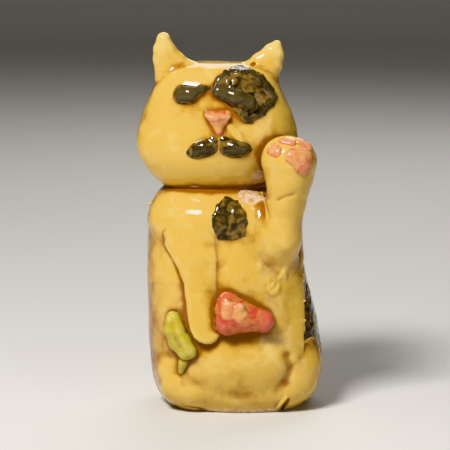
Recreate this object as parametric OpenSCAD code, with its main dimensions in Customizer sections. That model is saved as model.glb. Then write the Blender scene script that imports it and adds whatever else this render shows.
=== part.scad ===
// Beckoning cat figurine, hand-built from slabs, coils and lumps of clay, and glazed.
// Millimetres. +Z up, the cat faces -Y, and its own left side is at +X.
// The origin is on the resting plane, under the middle of the body.

/* [Body] */
// Width of the body over both flanks
body_w = 35; // [32:0.5:40]
// Depth of the body from belly to back
body_d = 29; // [26:0.5:34]
// Height of the shoulders above the resting plane
body_h = 45; // [42:0.5:49]
// Thickness of the clay wall
wall = 4.5; // [3.5:0.5:6]
// Thickness of the base slab
slab_t = 2; // [1.5:0.25:3]
// Diameter of the vent hole poked through the base
vent_d = 3; // [2:0.25:4]

/* [Head] */
// Width of the head at the cheeks
head_w = 32.4; // [30:0.2:36]
// Depth of the head from face to nape
head_d = 19; // [16:0.5:22]
// Height of the head without the ears
head_h = 25.4; // [23:0.2:28]

/* [Trim] */
// Thickness of the black clay patches
patch_t = 0.5; // [0.4:0.1:0.8]
// How far the eyes stand out of the face
eye_proud = 1.4; // [1.0:0.1:1.8]
// How far the paw pads stand out of the paw
pad_proud = 0.5; // [0.4:0.1:0.8]

/* [Hidden] */

honey = "#dcb858";
soot = "#4a4028";
rose = "#dc8f6c";
coral = "#c4613f";
moss = "#b0a038";
bisque = "#dcc3ac";

ring_points = 48;      // corners of one level ring of the body or the head
ball_fn = 20;          // facets round a ball of clay
body_square = 2.6;     // how square the body's rings are: 2 is an ellipse
head_square = 2.4;
seam_y = -7;           // where the front panel meets the back shell
rebate = 0.5;          // the base slab stays this far inside the body's outline
head_x = -3.3;         // the head sits to the cat's right of the body
head_y = -1.5;
head_z = body_h - 0.9; // the soft head sank a little onto the shoulders
luting_t = 3;          // height of the coil that lutes the head to the body
far = 100;             // beyond every surface

// Height, half-width, belly reach, back reach and sideways shift of the body's rings, as shares
// of body_h, body_w / 2, body_d / 2, body_d / 2 and body_w, and then each ring's sideways slope
body_rows = [
    [0.00, 0.77, 0.74, 0.74, 0.010, 0],
    [0.035, 0.885, 0.86, 0.86, 0.010, 0],
    [0.09, 0.955, 0.95, 0.93, 0.012, 0],
    [0.16, 0.99, 0.99, 0.96, 0.013, 0],
    [0.24, 1.00, 1.00, 0.97, 0.012, 0],
    [0.39, 0.98, 0.99, 0.96, -0.006, 0],
    [0.57, 0.93, 0.95, 0.93, -0.037, 0],
    [0.72, 0.895, 0.91, 0.90, -0.056, -0.01],
    [0.84, 0.87, 0.86, 0.86, -0.058, -0.02],
    [0.90, 0.84, 0.79, 0.80, -0.057, -0.04],
    [0.945, 0.745, 0.70, 0.71, -0.055, -0.06],
    [0.98, 0.63, 0.58, 0.59, -0.055, -0.08],
    [1.00, 0.50, 0.45, 0.46, -0.055, -0.08]
];

// Height, half-width and half-depth of the head's rings, as shares of head_h, head_w / 2 and
// head_d / 2, and then each ring's sideways slope
head_rows = [
    [0.00, 0.52, 0.46, 0.03],
    [0.05, 0.68, 0.64, 0.03],
    [0.11, 0.79, 0.76, 0.03],
    [0.18, 0.87, 0.84, 0.02],
    [0.24, 0.935, 0.91, 0.01],
    [0.30, 0.985, 0.96, 0],
    [0.37, 1.00, 1.00, 0],
    [0.50, 0.975, 1.00, 0],
    [0.62, 0.915, 0.975, 0],
    [0.75, 0.82, 0.91, 0],
    [0.87, 0.735, 0.78, 0],
    [0.93, 0.66, 0.68, 0],
    [0.975, 0.53, 0.53, 0],
    [1.00, 0.38, 0.35, 0]
];

// The value of one column of rows at share t of the height
function at(rows, t, column) = lookup(t, [for (row = rows) [row[0], row[column]]]);

function power(v, p) = sign(v) * pow(abs(v), p);

// A ring whose centre is at height z, with its own reach to the front and to the back
function ring(z, x, y, half_w, front, back, square, slope = 0) = [
    for (i = [0:ring_points - 1])
        let (
            turn = 360 * i / ring_points,
            side = half_w * power(cos(turn), 2 / square),
            depth = (sin(turn) < 0 ? front : back) * power(sin(turn), 2 / square)
        )
        [x + side, y + depth, z + slope * side]
];

function body_ring(row, grow) = ring(
    row[0] * (body_h + grow),
    row[4] * body_w,
    0,
    row[1] * body_w / 2 + grow,
    row[2] * body_d / 2 + grow,
    row[3] * body_d / 2 + grow,
    body_square,
    row[5]
);

function head_ring(row, grow) = ring(
    head_z - grow + row[0] * (head_h + 2 * grow),
    head_x,
    head_y,
    row[1] * head_w / 2 + grow,
    row[2] * head_d / 2 + grow,
    row[2] * head_d / 2 + grow,
    head_square,
    row[3]
);

function flat_ring(points) = [for (p = points) [p[0], p[1]]];

// A point given as shares of half the width, half the depth and the height
function of_body(x, y, z) = [x * body_w / 2, y * body_d / 2, z * body_h];
function of_head(x, y, z) = [head_x + x * head_w / 2, head_y + y * head_d / 2, head_z + z * head_h];

// How far forward a ring comes, as a share, at the share s of its half-width
function bow(s, square) = pow(max(0, 1 - pow(min(1, abs(s)), square)), 1 / square);

// How far forward the belly and the face come at share x of the half-width and z of the height,
// as a share of half the depth
function belly(x, z) =
    -at(body_rows, z, 2) * bow((x - 2 * at(body_rows, z, 4)) / at(body_rows, z, 1), body_square);
function face(x, z) = -at(head_rows, z, 2) * bow(x / at(head_rows, z, 1), head_square);

// A ball is [x, y, z, r]. These stand proud of the belly, or of the face, at the shares x and z
function in_body(x, y, z, r) = concat(of_body(x, y, z), [r]);
function in_head(x, y, z, r) = concat(of_head(x, y, z), [r]);
function on_body(x, z, r, proud) = concat(of_body(x, belly(x, z), z) + [0, r - proud, 0], [r]);
function on_face(x, z, r, proud) = concat(of_head(x, face(x, z), z) + [0, r - proud, 0], [r]);

// The solid round a cloud of points
module cloud(points)
    hull() polyhedron(points, [[for (i = [0:len(points) - 1]) i]]);

module skin(rings)
    for (i = [0:len(rings) - 2]) cloud(concat(rings[i], rings[i + 1]));

module ball(b)
    translate([b[0], b[1], b[2]]) sphere(r = b[3], $fn = ball_fn);

module lump(balls)
    hull() for (b = balls) ball(b);

module chain(balls)
    for (i = [0:len(balls) - 2]) lump([balls[i], balls[i + 1]]);

module body_form(grow = 0)
    skin([for (row = body_rows) body_ring(row, grow)]);

module head_form(grow = 0)
    skin([for (row = head_rows) head_ring(row, grow)]);

// Clay pressed onto the head, or onto the body beside the lowered arm, takes its shape there
module on_head_clay(colour)
    color(colour) difference() {
        children();
        head_form();
    }

module on_body_clay(colour)
    color(colour) difference() {
        children();
        body_form();
        lowered_arm_form();
    }

// A patch is what lies between a form and its grown copy, in front of or beside an outline
module patch_outline(points)
    offset(patch_t, $fn = 16) polygon(points);

module front_column(points)
    translate([0, -body_d / 8, 0]) rotate([90, 0, 0]) linear_extrude(far) patch_outline(points);

module side_column(points)
    rotate([90, 0, 90]) linear_extrude(far) patch_outline(points);

module slab_form(height)
    linear_extrude(height) polygon(flat_ring(body_ring(body_rows[0], -rebate)));

module base_slab()
    color(bisque) difference() {
        slab_form(slab_t);
        translate([0, body_d / 4, -far / 2]) cylinder(d = vent_d, h = far, $fn = 48);
    }

module body_wall()
    difference() {
        body_form();
        body_form(-wall);
        slab_form(slab_t);
    }

module behind_seam()
    translate([-far / 2, seam_y, -far / 2]) cube([far, far, 2 * far]);

module body_back_shell()
    color(honey) intersection() {
        body_wall();
        behind_seam();
    }

module body_front_panel()
    color(honey) difference() {
        body_wall();
        behind_seam();
    }

// The luting coil before the head was pressed down onto it
module luting()
    translate([0, 0, body_h - luting_t / 2]) linear_extrude(luting_t)
        polygon(flat_ring(ring(0, head_x + 0.8, head_y + 1, 9.5, 7, 6.5, 2)));

module neck_coil()
    color(bisque) difference() {
        luting();
        body_form();
        head_form();
    }

module head()
    color(honey) difference() {
        head_form();
        body_form();
    }

// An ear pinched out of balls: its tip, the swell below it, both ends of its foot, and its bulk
module ear(tip, swell, outer, inner, bulk)
    on_head_clay(honey) {
        lump([tip, swell, bulk]);
        lump([swell, outer, bulk]);
        lump([outer, inner, bulk]);
        lump([tip, inner, bulk]);
    }

module left_ear()
    ear(
        in_head(0.744, -0.12, 1.146, 0.5),
        in_head(0.738, -0.11, 1.05, 1.1),
        in_head(0.66, -0.09, 0.89, 1.3),
        in_head(0.365, -0.10, 0.945, 1.3),
        in_head(0.56, 0.02, 0.92, 2.3)
    );

module right_ear()
    ear(
        in_head(-0.67, -0.17, 1.19, 1.0),
        in_head(-0.705, -0.15, 1.08, 1.25),
        in_head(-0.67, -0.12, 0.885, 1.4),
        in_head(-0.335, -0.13, 0.96, 1.4),
        in_head(-0.55, -0.02, 0.935, 2.5)
    );

// The cat's right eye is a drop whose thick end is at the cheek
module right_eye()
    on_head_clay(soot) chain([
        on_face(-0.42, 0.775, 1.8, eye_proud),
        on_face(-0.30, 0.775, 1.65, eye_proud),
        on_face(-0.145, 0.82, 0.7, 0.7 * eye_proud)
    ]);

// The left eye is a roll laid on the patch
module left_eye()
    on_head_clay(soot) difference() {
        chain([
            on_face(0.02, 0.80, 1.35, eye_proud + patch_t),
            on_face(0.215, 0.76, 1.55, eye_proud + patch_t),
            on_face(0.375, 0.715, 1.7, eye_proud + patch_t)
        ]);
        head_form(patch_t);
    }

eye_patch_outline = [
    [-0.06, 0.87], [0.00, 0.925], [0.11, 0.96], [0.30, 0.97], [0.455, 0.955], [0.625, 0.875],
    [0.735, 0.735], [0.68, 0.67], [0.535, 0.60], [0.37, 0.555], [0.19, 0.66], [-0.01, 0.755]
];

module eye_patch()
    on_head_clay(soot) intersection() {
        head_form(patch_t);
        front_column([for (p = eye_patch_outline) let (q = of_head(p[0], 0, p[1])) [q[0], q[2]]]);
    }

module nose()
    on_head_clay(rose) lump([
        on_face(-0.12, 0.645, 0.5, 1.9),
        on_face(0.135, 0.64, 0.5, 1.9),
        on_face(0.02, 0.505, 0.4, 1.0),
        on_face(0.01, 0.69, 0.8, 0.3)
    ]);

module right_muzzle()
    on_head_clay(soot) chain([
        on_face(-0.055, 0.415, 1.0, 1.0),
        on_face(-0.165, 0.36, 1.5, 1.4),
        on_face(-0.30, 0.335, 1.2, 1.1)
    ]);

module left_muzzle()
    on_head_clay(soot) chain([
        on_face(0.08, 0.405, 1.1, 1.1),
        on_face(0.20, 0.365, 1.7, 1.5),
        on_face(0.31, 0.355, 1.2, 1.2),
        on_face(0.405, 0.35, 0.5, 0.6)
    ]);

// Elbow, forearm, wrist and both sides of the paw of the beckoning arm
raised_arm_balls = [
    in_body(0.56, -0.72, 0.655, 2.6),
    in_body(0.57, -0.745, 0.757, 3.3),
    in_body(0.58, -0.77, 0.975, 3.6),
    in_body(0.603, -0.80, 1.055, 4.3),
    in_body(0.676, -0.83, 1.13, 4.6),
    in_body(0.556, -0.83, 1.137, 4.5)
];
paw = in_body(0.616, -0.83, 1.134, 4.6);
paw_reach = 5.6; // from the middle of the paw to its left or right side

module raised_arm_form() {
    chain([for (i = [0:3]) raised_arm_balls[i]]);
    lump([for (i = [3:5]) raised_arm_balls[i]]);
}

module raised_arm()
    color(honey) difference() {
        raised_arm_form();
        body_form();
        head_form();
        luting();
    }

// A ball of a paw pad, turned to the cat's left and raised from straight ahead on the paw
function on_paw(turn, rise, r) =
    let (
        depth = paw[3] + pad_proud - r,
        side = paw_reach + pad_proud - r,
        way = [cos(rise) * sin(turn), -cos(rise) * cos(turn), sin(rise)]
    )
    [paw[0] + side * way[0], paw[1] + depth * way[1], paw[2] + depth * way[2], r];

module pad(balls)
    on_head_clay(rose) difference() {
        chain(balls);
        raised_arm_form();
    }

module palm_pad()
    pad([on_paw(20, 20, 2.3), on_paw(26, 4, 2.8), on_paw(30, -12, 2.3)]);

module inner_toe_pad()
    pad([on_paw(-40, 29, 1.8), on_paw(-22, 28, 1.6)]);

module middle_toe_pad()
    pad([on_paw(-22, 52, 1.6), on_paw(4, 53, 1.6)]);

module outer_toe_pad()
    pad([on_paw(26, 56, 1.7), on_paw(52, 42, 1.5)]);

// A ball at each edge of the lowered arm, from its shoulder to its paw
lowered_arm_edges = [
    [on_body(-0.68, 0.76, 2.2, 1.0), on_body(-0.27, 0.83, 2.4, 0.2)],
    [on_body(-0.60, 0.70, 2.3, 1.4), on_body(-0.28, 0.71, 2.4, 0.9)],
    [on_body(-0.48, 0.62, 2.4, 1.8), on_body(-0.30, 0.61, 2.4, 1.4)],
    [on_body(-0.435, 0.52, 2.4, 2.1), on_body(-0.305, 0.51, 2.4, 1.8)],
    [on_body(-0.425, 0.44, 2.3, 2.4), on_body(-0.30, 0.435, 2.4, 2.2)],
    [on_body(-0.36, 0.395, 2.0, 2.6), on_body(-0.275, 0.39, 2.2, 2.6)]
];

module lowered_arm_form()
    for (i = [0:len(lowered_arm_edges) - 2])
        lump(concat(lowered_arm_edges[i], lowered_arm_edges[i + 1]));

module lowered_arm()
    color(honey) difference() {
        lowered_arm_form();
        body_form();
    }

// The lowered paw holds a rounded, tapering charm with a knob in its middle
module red_charm_form()
    lump([
        on_body(-0.075, 0.515, 2.1, 2.9),
        on_body(-0.085, 0.42, 2.2, 3.5),
        on_body(0.325, 0.433, 1.6, 2.9)
    ]);

module red_charm()
    on_body_clay(coral) red_charm_form();

module charm_knob()
    on_body_clay(honey) difference() {
        ball(on_body(0.045, 0.495, 1.5, 4.0));
        red_charm_form();
    }

module green_charm_form()
    chain([
        on_body(-0.665, 0.43, 2.0, 2.1),
        on_body(-0.63, 0.365, 2.0, 2.3),
        on_body(-0.52, 0.295, 2.0, 2.4)
    ]);

module green_charm()
    on_body_clay(moss) green_charm_form();

module green_charm_bud()
    on_body_clay(moss) difference() {
        chain([on_body(-0.585, 0.235, 1.1, 1.3), on_body(-0.61, 0.20, 0.7, 0.9)]);
        green_charm_form();
    }

chest_patch_outline = [
    [-0.25, 0.895], [-0.20, 0.94], [-0.09, 0.97], [0.045, 0.955], [0.135, 0.91],
    [0.155, 0.86], [0.12, 0.805], [-0.025, 0.785], [-0.18, 0.79], [-0.25, 0.84]
];

module chest_patch()
    on_body_clay(soot) intersection() {
        body_form(patch_t);
        front_column([for (p = chest_patch_outline) let (q = of_body(p[0], 0, p[1])) [q[0], q[2]]]);
    }

// The outlines of the patches at the sides, as shares of half the depth and of the height
flank_patch_outline = [
    [-0.69, 0.30], [-0.69, 0.60], [-0.33, 0.78], [0.14, 0.805],
    [0.345, 0.635], [0.415, 0.455], [0.14, 0.28], [-0.275, 0.265]
];
shoulder_patch_outline = [
    [-0.07, 0.82], [0.035, 0.90], [0.275, 0.925], [0.515, 0.885], [0.55, 0.805], [0.275, 0.76]
];

module flank_patch()
    on_body_clay(soot) difference() {
        intersection() {
            body_form(patch_t);
            side_column([for (p = flank_patch_outline) let (q = of_body(0, p[0], p[1])) [q[1], q[2]]]);
        }
        raised_arm_form();
    }

module shoulder_patch()
    on_body_clay(soot) intersection() {
        body_form(patch_t);
        mirror([1, 0, 0]) side_column([
            for (p = shoulder_patch_outline) let (q = of_body(0, p[0], p[1])) [q[1], q[2]]
        ]);
    }

module foot(balls)
    on_body_clay(honey) difference() {
        lump(balls);
        translate([-far / 2, -far / 2, -far]) cube(far);
    }

// The left foot wraps round to the side, where its top edge is a ledge
module left_foot()
    foot([
        on_body(0.49, 0.065, 2.2, 0.6),
        on_body(0.70, 0.095, 2.8, 1.0),
        on_body(0.775, 0.155, 3.0, 1.1),
        on_body(0.765, 0.215, 2.4, 0.4),
        in_body(0.86, -0.30, 0.10, 2.5),
        in_body(0.90, -0.34, 0.22, 2.4)
    ]);

module right_foot()
    foot([
        on_body(-0.47, 0.06, 2.1, 0.6),
        on_body(-0.65, 0.09, 2.6, 0.9),
        on_body(-0.70, 0.14, 2.4, 0.7)
    ]);

module tail()
    on_body_clay(soot) chain([
        in_body(0.055, 0.87, 0.075, 2.3),
        in_body(0.07, 0.91, 0.16, 2.3),
        in_body(-0.025, 0.925, 0.245, 2.1),
        in_body(-0.185, 0.91, 0.305, 1.9)
    ]);

base_slab();
body_back_shell();
body_front_panel();
neck_coil();
head();
left_ear();
right_ear();
left_eye();
right_eye();
eye_patch();
nose();
left_muzzle();
right_muzzle();
raised_arm();
palm_pad();
inner_toe_pad();
middle_toe_pad();
outer_toe_pad();
lowered_arm();
red_charm();
charm_knob();
green_charm();
green_charm_bud();
chest_patch();
flank_patch();
shoulder_patch();
left_foot();
right_foot();
tail();
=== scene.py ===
import itertools
import math

import bpy
import numpy as np
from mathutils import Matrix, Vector


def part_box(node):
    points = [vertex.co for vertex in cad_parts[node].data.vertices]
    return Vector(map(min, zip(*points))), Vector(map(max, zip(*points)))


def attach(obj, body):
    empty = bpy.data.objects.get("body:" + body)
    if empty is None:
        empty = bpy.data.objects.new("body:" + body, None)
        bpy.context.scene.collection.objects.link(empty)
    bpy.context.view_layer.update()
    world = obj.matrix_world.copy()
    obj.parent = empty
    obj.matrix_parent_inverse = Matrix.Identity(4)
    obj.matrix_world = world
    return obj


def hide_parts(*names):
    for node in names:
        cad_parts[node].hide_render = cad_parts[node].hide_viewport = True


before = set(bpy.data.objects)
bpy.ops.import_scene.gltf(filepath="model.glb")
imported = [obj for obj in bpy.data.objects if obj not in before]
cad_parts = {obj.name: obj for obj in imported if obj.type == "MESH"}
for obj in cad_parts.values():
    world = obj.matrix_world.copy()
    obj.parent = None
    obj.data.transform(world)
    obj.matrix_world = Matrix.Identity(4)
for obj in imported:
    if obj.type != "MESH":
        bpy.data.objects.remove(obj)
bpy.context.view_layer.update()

# The figurine's pieces are sculpted as fields: for each point of a grid, the distance in
# millimetres to the piece's surface, negative inside. A field is turned into a mesh where it is 0.
# Left and right are the cat's own, so its left side is at +X. It faces -Y.

MM = 0.001
COARSE = 1.0
BODY_STEP = 0.25 * COARSE      # spacing of the grid that a large piece is sculpted on
SHELL_STEP = 0.36 * COARSE     # and the one for the back, which is plain
HEAD_STEP = 0.2 * COARSE
LIMB_STEP = 0.17 * COARSE
TRIM_STEP = 0.11 * COARSE
SLAB_STEP = 0.3
POOL_STEP = 0.35               # spacing of the grid that says where glaze pools
POOL_FINE = 0.55               # widths of the two blurs that find creases
POOL_BROAD = 1.8
WALL = 4.5                     # thickness of the body's clay wall
SLAB_T = 2.0                   # and of the base slab
VENT_R = 1.5
SINK = 0.9                     # the head sank this far onto the shoulders
SEAM_Y = -7.0                  # where the front panel meets the back shell
SEAM_WRAP = 8.0                # how far back the seam runs on the right and over the shoulders
LEDGE_WRAP = 5.0               # and on the left
SEAM_LAP = 0.05                # the shell reaches this far past the seam, into the panel
TORN_X = 14.2                  # the panel is torn off at the left here
LEDGE_Z = 12.6                 # and below this it wraps round to the side
ROOT = 0.45                    # a pressed-on piece reaches this far into what is under it
FILM = 0.05                    # its fillet ends this far below the surface

# Height, half-width, reach forward, reach back and sideways shift of each ring, as shares of the
# form's height, half-width, half-depth, half-depth and width, and then its sideways slope
BODY_ROWS = [
    (0.00, 0.77, 0.74, 0.74, 0.010, 0),
    (0.035, 0.885, 0.86, 0.86, 0.010, 0),
    (0.09, 0.955, 0.95, 0.93, 0.012, 0),
    (0.16, 0.99, 0.99, 0.96, 0.013, 0),
    (0.24, 1.00, 1.00, 0.97, 0.012, 0),
    (0.39, 0.98, 0.99, 0.96, -0.006, 0),
    (0.57, 0.93, 0.95, 0.93, -0.037, 0),
    (0.72, 0.895, 0.91, 0.90, -0.056, -0.01),
    (0.84, 0.87, 0.86, 0.86, -0.058, -0.02),
    (0.90, 0.84, 0.79, 0.80, -0.057, -0.04),
    (0.945, 0.745, 0.70, 0.71, -0.055, -0.06),
    (0.98, 0.63, 0.58, 0.59, -0.055, -0.08),
    (1.00, 0.50, 0.45, 0.46, -0.055, -0.08),
]
HEAD_ROWS = [
    (0.00, 0.52, 0.46, 0.46, 0, 0.03),
    (0.05, 0.68, 0.64, 0.64, 0, 0.03),
    (0.11, 0.79, 0.76, 0.76, 0, 0.03),
    (0.18, 0.87, 0.84, 0.84, 0, 0.02),
    (0.24, 0.935, 0.91, 0.91, 0, 0.01),
    (0.30, 0.985, 0.96, 0.96, 0, 0),
    (0.37, 1.00, 1.00, 1.00, 0, 0),
    (0.50, 0.975, 1.00, 1.00, 0, 0),
    (0.62, 0.915, 0.975, 0.975, 0, 0),
    (0.75, 0.82, 0.91, 0.91, 0, 0),
    (0.87, 0.735, 0.78, 0.78, 0, 0),
    (0.93, 0.66, 0.68, 0.68, 0, 0),
    (0.975, 0.53, 0.53, 0.53, 0, 0),
    (1.00, 0.38, 0.35, 0.35, 0, 0),
]


# ---------------------------------------------------------------- grids and fields

def cad_box(*nodes):
    """Lowest and highest corner of these CAD nodes together, in millimetres."""
    corners = np.array([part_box(node) for node in nodes]) / MM
    return corners[:, 0].min(axis=0), corners[:, 1].max(axis=0)


class Grid:
    """Sample points in a box, in millimetres, a step apart. x, y and z broadcast to its shape."""

    def __init__(self, low, high, step):
        self.low = np.array(low, float)
        self.step = step
        counts = np.ceil((np.array(high) - self.low) / step).astype(int) + 1
        lines = [self.low[k] + step * np.arange(counts[k]) for k in range(3)]
        self.x = lines[0].astype(np.float32)[:, None, None]
        self.y = lines[1].astype(np.float32)[None, :, None]
        self.z = lines[2].astype(np.float32)[None, None, :]
        self.lines = lines
        self.shape = tuple(counts)


def join(a, b, blend):
    """Union of two fields, with a fillet about as wide as blend."""
    near = np.maximum(blend - np.abs(a - b), 0) / blend
    return np.minimum(a, b) - near * near * blend / 4


def cut(a, b, blend):
    """What is left of field a outside field b, with a softened edge."""
    return -join(-a, b, blend)


def cone(grid, a, b):
    """The solid that a ball sweeps as it goes from ball a to ball b. A ball is (x, y, z, r)."""
    along = [b[k] - a[k] for k in range(3)]
    length2 = sum(v * v for v in along)
    taper = a[3] - b[3]
    slant = length2 - taper * taper
    x, y, z = grid.x - a[0], grid.y - a[1], grid.z - a[2]
    from_a = x * along[0] + y * along[1] + z * along[2]
    from_b = from_a - length2
    across2 = np.maximum(length2 * (length2 * (x * x + y * y + z * z) - from_a * from_a), 0)
    a2 = from_a * from_a * length2
    b2 = from_b * from_b * length2
    bias = np.sign(taper) * taper * taper * across2
    side = (np.sqrt(across2 * slant / length2) + from_a * taper) / length2 - a[3]
    end_a = np.sqrt(across2 + a2) / length2 - a[3]
    end_b = np.sqrt(across2 + b2) / length2 - b[3]
    side = np.where(np.sign(from_a) * slant * a2 < bias, end_a, side)
    return np.where(np.sign(from_b) * slant * b2 > bias, end_b, side)


def ball(grid, b):
    return np.sqrt((grid.x - b[0]) ** 2 + (grid.y - b[1]) ** 2 + (grid.z - b[2]) ** 2) - b[3]


def egg(grid, centre, radii):
    """An ellipsoid, as a rough distance."""
    terms = [((line - c) / r) ** 2 for line, c, r in zip((grid.x, grid.y, grid.z), centre, radii)]
    return (np.sqrt(terms[0] + terms[1] + terms[2]) - 1) * min(radii)


def chain(grid, balls, blend=0.3):
    """Balls joined one to the next."""
    out = cone(grid, balls[0], balls[1])
    for a, b in zip(balls[1:], balls[2:]):
        out = join(out, cone(grid, a, b), blend)
    return out


def between(a, b, share):
    return [p + (q - p) * share for p, q in zip(a, b)]


def strap(grid, left, right, lines, blend):
    """A flattened coil between two edges, each a chain of balls."""
    out = None
    for i in range(lines):
        balls = [between(a, b, i / (lines - 1)) for a, b in zip(left, right)]
        line = chain(grid, balls, blend)
        out = line if out is None else join(out, line, blend)
    return out


def fan(grid, tip, a, b, lines, blend):
    """A slab between a tip and an edge that runs from ball a to ball b."""
    return strap(grid, [tip, a], [tip, b], lines, blend)


def noise(grid, size, seed):
    """Smooth noise from -1 to 1 with lumps of this size, the same in every grid."""
    reach = 90.0
    lattice = np.random.default_rng(seed).uniform(-1, 1, (int(reach * 2 / size) + 3,) * 3)
    out = lattice.astype(np.float32)
    for axis, line in enumerate(grid.lines):
        place = (line + reach) / size
        cell = np.floor(place).astype(int)
        t = place - cell
        t = (t * t * (3 - 2 * t)).astype(np.float32)
        t = t.reshape([-1 if k == axis else 1 for k in range(3)])
        out = out.take(cell, axis) * (1 - t) + out.take(cell + 1, axis) * t
    return out


def lumps(grid, amount):
    """The finger-made unevenness of soft clay."""
    return amount * (0.16 * noise(grid, 6.5, 1) + 0.05 * noise(grid, 2.3, 2))


class Form:
    """The body or the head: rounded oblong rings from its foot up."""

    def __init__(self, nodes, rows, square, foot):
        low, high = cad_box(*nodes)
        self.rows = np.array(rows, float)
        self.square = square
        _, half, front, back, shift, slope = self.rows.T
        self.half_w = (high[0] - low[0]) / (max(half + 2 * shift) + max(half - 2 * shift))
        self.half_d = (high[1] - low[1]) / (max(front) + max(back))
        self.x = high[0] - self.half_w * max(half + 2 * shift)
        self.y = low[1] + self.half_d * max(front)
        self.foot = foot
        self.height = high[2] - foot - abs(slope[-1]) * half[-1] * self.half_w

    def column(self, t, k):
        """Column k at share t of the height, with the corners between rings rounded off."""
        taps = [-0.03, -0.02, -0.01, 0, 0.01, 0.02, 0.03]
        return sum(np.interp(t + tap, self.rows[:, 0], self.rows[:, k]) for tap in taps) / len(taps)

    def field(self, grid):
        x, y = grid.x - self.x, grid.y - self.y
        t = (grid.z - self.foot) / self.height
        tilt = self.column(t, 5) * x
        t = t - tilt / self.height
        side = np.abs(x - 2 * self.half_w * self.column(t, 4)) / (self.half_w * self.column(t, 1))
        reach = np.where(y < 0, self.column(t, 2), self.column(t, 3)) * self.half_d
        depth = np.abs(y) / reach
        share = (side ** self.square + depth ** self.square) ** (1 / self.square)
        steps = np.gradient(share.astype(np.float32), grid.step)
        steepness = np.sqrt(sum(s * s for s in steps))
        out = (share - 1) / np.maximum(steepness, 0.5 / self.half_w)
        over = grid.z - tilt - (self.foot + self.height)
        under = self.foot - (grid.z - tilt)
        return -join(join(-out, -over, 1.2), -under, 0.4).astype(np.float32)

    def at(self, x, y, z, r):
        """A ball whose centre is given as shares of the half-width, the half-depth and the height."""
        return (self.x + x * self.half_w, self.y + y * self.half_d, self.foot + z * self.height, r)

    def on(self, x, z, r, proud):
        """A ball that stands this proud of the form's front, at the shares x and z."""
        row = [np.interp(z, self.rows[:, 0], self.rows[:, k]) for k in range(6)]
        side = min(abs(x - 2 * row[4]) / row[1], 1)
        bow = row[2] * (1 - side ** self.square) ** (1 / self.square)
        bx, by, bz, _ = self.at(x, -bow, z, r)
        return (bx, by + r - proud, bz, r)


BODY = Form(["body_back_shell", "body_front_panel"], BODY_ROWS, 2.6, 0.0)
HEAD = Form(["head"], HEAD_ROWS, 2.4, BODY.height - SINK)


def line_gap(grid, form, points, front=True):
    """How far each column of the grid is from a line, given as shares of the form."""
    across = grid.x if front else grid.y
    centre, half = (form.x, form.half_w) if front else (form.y, form.half_d)
    corners = [(centre + px * half, form.foot + pz * form.height) for px, pz in points]
    best = np.inf
    for (ax, az), (bx, bz) in zip(corners, corners[1:]):
        ex, ez = bx - ax, bz - az
        wx, wz = across - ax, grid.z - az
        share = np.clip((wx * ex + wz * ez) / (ex * ex + ez * ez), 0, 1)
        best = np.minimum(best, (wx - ex * share) ** 2 + (wz - ez * share) ** 2)
    return np.sqrt(best)


def stroke(grid, form, points, width, depth):
    """What a stroke of a tool adds to a field: a groove, or a ridge where depth is negative."""
    gap = line_gap(grid, form, points) + 0.08 * noise(grid, 0.9, 91)
    return np.where(grid.y < form.y + 2, depth * np.exp(-(gap / width) ** 2), 0)


def pressed(piece, base, blend, reach=1.6):
    """A piece pressed onto a base: blended into it, and kept to near the piece and the surface."""
    joined = join(base + FILM, piece, blend)
    return np.maximum(np.maximum(joined, piece - reach), -(base + ROOT))


def outline_field(grid, form, points, front=True):
    """How far outside an outline each column of the grid is, given as shares of the form."""
    gap = line_gap(grid, form, points + points[:1], front)
    across = grid.x if front else grid.y
    centre, half = (form.x, form.half_w) if front else (form.y, form.half_d)
    corners = [(centre + px * half, form.foot + pz * form.height) for px, pz in points]
    inside = False
    for (ax, az), (bx, bz) in zip(corners, corners[1:] + corners[:1]):
        spans = (az > grid.z) != (bz > grid.z)
        side = (across - ax) * (bz - az) < (grid.z - az) * (bx - ax)
        inside = inside ^ (spans & (side == (bz > az)))
    return np.where(inside, -gap, gap)


# ---------------------------------------------------------------- the pieces' shapes

def neck_gap(grid):
    """The wedge that stays open between head and body: it widens towards the raised arm."""
    shut_x, wide_x = -1.5, 7.5
    crease = BODY.height - 0.1
    front = [(shut_x, -12.0, crease + 0.2, 0.1), (wide_x, -13.0, crease, 1.55)]
    back = [(shut_x, -6.5, crease, 0.1), (wide_x, -5.0, crease, 1.2)]
    return strap(grid, front, back, 4, 0.5)


def body_mass(grid):
    """The body as one lump, before it is split at the seam."""
    field = BODY.field(grid) - lumps(grid, 1.5)
    belly = egg(grid, BODY.at(0.08, -0.60, 0.245, 0)[:3], (11.0, 6.6, 6.2))
    field = join(field, belly, 2.5)
    shoulder = egg(grid, BODY.at(-0.25, -0.42, 0.86, 0)[:3], (11.0, 6.2, 4.6))
    field = join(field, shoulder, 2.5)
    field = field + stroke(grid, BODY, BELLY_FOLD, 1.8, 0.18) + stroke(grid, BODY, SIDE_FOLD, 1.1, 0.4)
    field = field + stroke(grid, BODY, LOWER_EDGE, 0.3, 0.5) + stroke(grid, BODY, ARM_LIP, 0.2, -0.25)
    field = field + stroke(grid, BODY, NOTCH, 0.3, 1.1) + stroke(grid, BODY, NOTCH_LIP, 0.3, -0.5)
    for x, z, r in CRUMBLED:
        field = join(field, ball(grid, BODY.on(x, z, r, 0.5 * r)), 0.5)
    return cut(field, neck_gap(grid), 0.4)


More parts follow.
